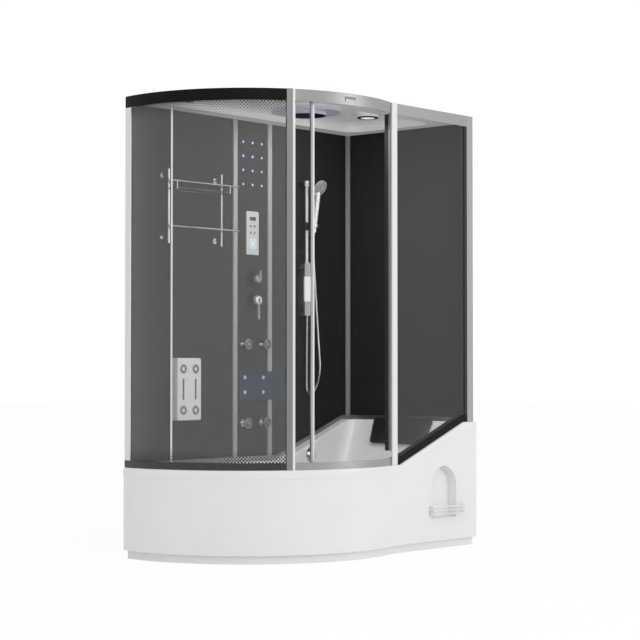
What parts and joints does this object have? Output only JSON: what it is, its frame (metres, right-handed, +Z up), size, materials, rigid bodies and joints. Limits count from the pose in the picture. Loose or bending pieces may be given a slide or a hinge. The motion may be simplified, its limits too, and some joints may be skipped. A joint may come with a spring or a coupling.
{
  "type": "shower cabin with bathtub",
  "caption": "Corner shower cabin with a bathtub: bowed white tub, curved sliding glass door, black wall panels with body jets, a hand shower and a moulded roof.",
  "frame": {"origin": "on the floor under the middle of the box round the tub", "axes": "+Z up, +X along the tub towards the raised backrest end, -Y towards the sliding door"},
  "size_m": [1.6999, 0.9, 2.2],
  "materials": {
    "acrylic": "gloss white acrylic",
    "steel": "polished steel",
    "chrome": "chrome plated",
    "pipe": "gloss white",
    "cushion": "satin black skin foam",
    "black_glass": "gloss black back-painted glass",
    "aluminium": "satin anodised",
    "black_rail": "satin black coated",
    "clear_glass": "grey tinted clear glass",
    "seal": "black rubber",
    "nylon": "black nylon",
    "lamp": "black ring with a pale lens",
    "panel_plastic": "light grey",
    "hose": "silver sleeve"
  },
  "bodies": {
    "cabin": {"tub_shell": "acrylic", "skirt_panel": "acrylic", "roof_panel": "acrylic", "tub_frame": "steel", "niche_rack": "steel", "towel_rack": "steel", "overflow_body": "chrome", "valve_bodies": "chrome", "jet_bases": "chrome", "slide_bar": "chrome", "waste_trap": "pipe", "massage_unit": "pipe", "spray_nozzles": "pipe", "rain_head": "pipe", "headrest_pillow": "cushion", "back_panel_left": "black_glass", "column_panel": "black_glass", "back_panel_right": "black_glass", "side_panel": "black_glass", "lumbar_plate": "black_glass", "wall_profiles": "aluminium", "wall_sill": "aluminium", "wall_posts": "aluminium", "post_door_left": "aluminium", "post_door_right": "aluminium", "top_rail_door": "aluminium", "bottom_rail_door": "aluminium", "top_rail_right": "aluminium", "top_rail_left": "black_rail", "bottom_rail_left": "black_rail", "bottom_rail_right": "black_rail", "glass_left": "clear_glass", "glass_right": "clear_glass", "rack_shelf": "clear_glass", "glass_seals": "seal", "ceiling_light": "lamp", "control_panel": "panel_plastic", "shower_hose": "hose"},
    "door": {"door_glass": "clear_glass", "door_profiles": "aluminium", "door_handle": "aluminium", "door_hangers": "nylon"},
    "wheel_front": {"roller_front": "nylon"},
    "wheel_rear": {"roller_rear": "nylon"},
    "jet_1": {"jet_rose_1": "chrome"},
    "jet_2": {"jet_rose_2": "chrome"},
    "jet_3": {"jet_rose_3": "chrome"},
    "jet_4": {"jet_rose_4": "chrome"},
    "mixer_head": {"mixer_cap": "chrome"},
    "mixer_arm": {"mixer_lever": "chrome"},
    "diverter": {"diverter_knob": "chrome"},
    "slider": {"shower_slider": "nylon"},
    "hand_shower": {"handset": "chrome"},
    "overflow_dial": {"overflow_knob": "chrome"},
    "plug": {"waste_plug": "chrome"},
    "key_lamp": {"key_lamp": "panel_plastic"},
    "key_fan": {"key_fan": "panel_plastic"},
    "key_radio": {"key_radio": "panel_plastic"},
    "key_phone": {"key_phone": "panel_plastic"},
    "key_pad": {"key_pad": "panel_plastic"}
  },
  "joints": [
    {"name": "door_slide", "type": "hinge", "parent": "cabin", "child": "door", "pos_m": [-0.09, 0.31, 1.3], "axis": [0, 0, 1], "range_deg": [0, 42.1]},
    {"name": "wheel_front_spin", "type": "hinge", "parent": "door", "child": "wheel_front", "pos_m": [-0.4691, -0.30622, 2.1752], "axis": [-0.524, -0.8517, 0], "range_deg": [-2774, 5]},
    {"name": "wheel_rear_spin", "type": "hinge", "parent": "door", "child": "wheel_rear", "pos_m": [-0.77263, 0.07028, 2.1752], "axis": [-0.9435, -0.3313, 0], "range_deg": [-2774, 5]},
    {"name": "mixer_turn", "type": "hinge", "parent": "cabin", "child": "mixer_head", "pos_m": [0.036, 0.385, 1.24899], "axis": [0, 1, 0], "range_deg": [-45, 45]},
    {"name": "mixer_lift", "type": "hinge", "parent": "mixer_head", "child": "mixer_arm", "pos_m": [0.036, 0.378, 1.23899], "axis": [-1, 0, 0], "range_deg": [0, 25]},
    {"name": "diverter_turn", "type": "hinge", "parent": "cabin", "child": "diverter", "pos_m": [0.036, 0.385, 1.35796], "axis": [0, 1, 0], "range_deg": [-60, 60]},
    {"name": "slider_slide", "type": "slide", "parent": "cabin", "child": "slider", "axis": [0, 0, 1], "range_m": [-0.19, 0.18], "deforming": ["shower_hose"]},
    {"name": "handset_tilt", "type": "hinge", "parent": "slider", "child": "hand_shower", "pos_m": [0.404, 0.319, 1.648], "axis": [1, 0, 0], "range_deg": [-15, 15], "deforming": ["shower_hose"]},
    {"name": "overflow_turn", "type": "hinge", "parent": "cabin", "child": "overflow_dial", "pos_m": [0.409, 0.35219, 0.447], "axis": [0, 0.9952, -0.098], "range_deg": [0, 90]},
    {"name": "plug_lift", "type": "slide", "parent": "cabin", "child": "plug", "axis": [0, 0, 1], "range_m": [0, 0.0081]},
    {"name": "jet_1_tilt", "type": "hinge", "parent": "cabin", "child": "jet_1", "pos_m": [-0.035, 0.393, 1.02415], "axis": [1, 0, 0], "range_deg": [-15, 15]},
    {"name": "jet_2_tilt", "type": "hinge", "parent": "cabin", "child": "jet_2", "pos_m": [0.107, 0.393, 1.02415], "axis": [1, 0, 0], "range_deg": [-15, 15]},
    {"name": "jet_3_tilt", "type": "hinge", "parent": "cabin", "child": "jet_3", "pos_m": [-0.035, 0.393, 0.62417], "axis": [1, 0, 0], "range_deg": [-15, 15]},
    {"name": "jet_4_tilt", "type": "hinge", "parent": "cabin", "child": "jet_4", "pos_m": [0.107, 0.393, 0.62417], "axis": [1, 0, 0], "range_deg": [-15, 15]},
    {"name": "key_lamp_press", "type": "slide", "parent": "cabin", "child": "key_lamp", "axis": [0, 1, 0], "range_m": [0, 0.0008], "stiffness_N_per_m": 500, "springref_m": -0.0005},
    {"name": "key_fan_press", "type": "slide", "parent": "cabin", "child": "key_fan", "axis": [0, 1, 0], "range_m": [0, 0.0008], "stiffness_N_per_m": 500, "springref_m": -0.0005},
    {"name": "key_radio_press", "type": "slide", "parent": "cabin", "child": "key_radio", "axis": [0, 1, 0], "range_m": [0, 0.0008], "stiffness_N_per_m": 500, "springref_m": -0.0005},
    {"name": "key_phone_press", "type": "slide", "parent": "cabin", "child": "key_phone", "axis": [0, 1, 0], "range_m": [0, 0.0008], "stiffness_N_per_m": 500, "springref_m": -0.0005},
    {"name": "key_pad_press", "type": "slide", "parent": "cabin", "child": "key_pad", "axis": [0, 1, 0], "range_m": [0, 0.0008], "stiffness_N_per_m": 500, "springref_m": -0.0005}
  ],
  "couplings": [
    {"joint": "wheel_front_spin", "follows": "door_slide", "ratio": -65.773},
    {"joint": "wheel_rear_spin", "follows": "door_slide", "ratio": -65.773},
    {"joint": "plug_lift", "follows": "overflow_turn", "m_per_rad": 0.005093}
  ]
}
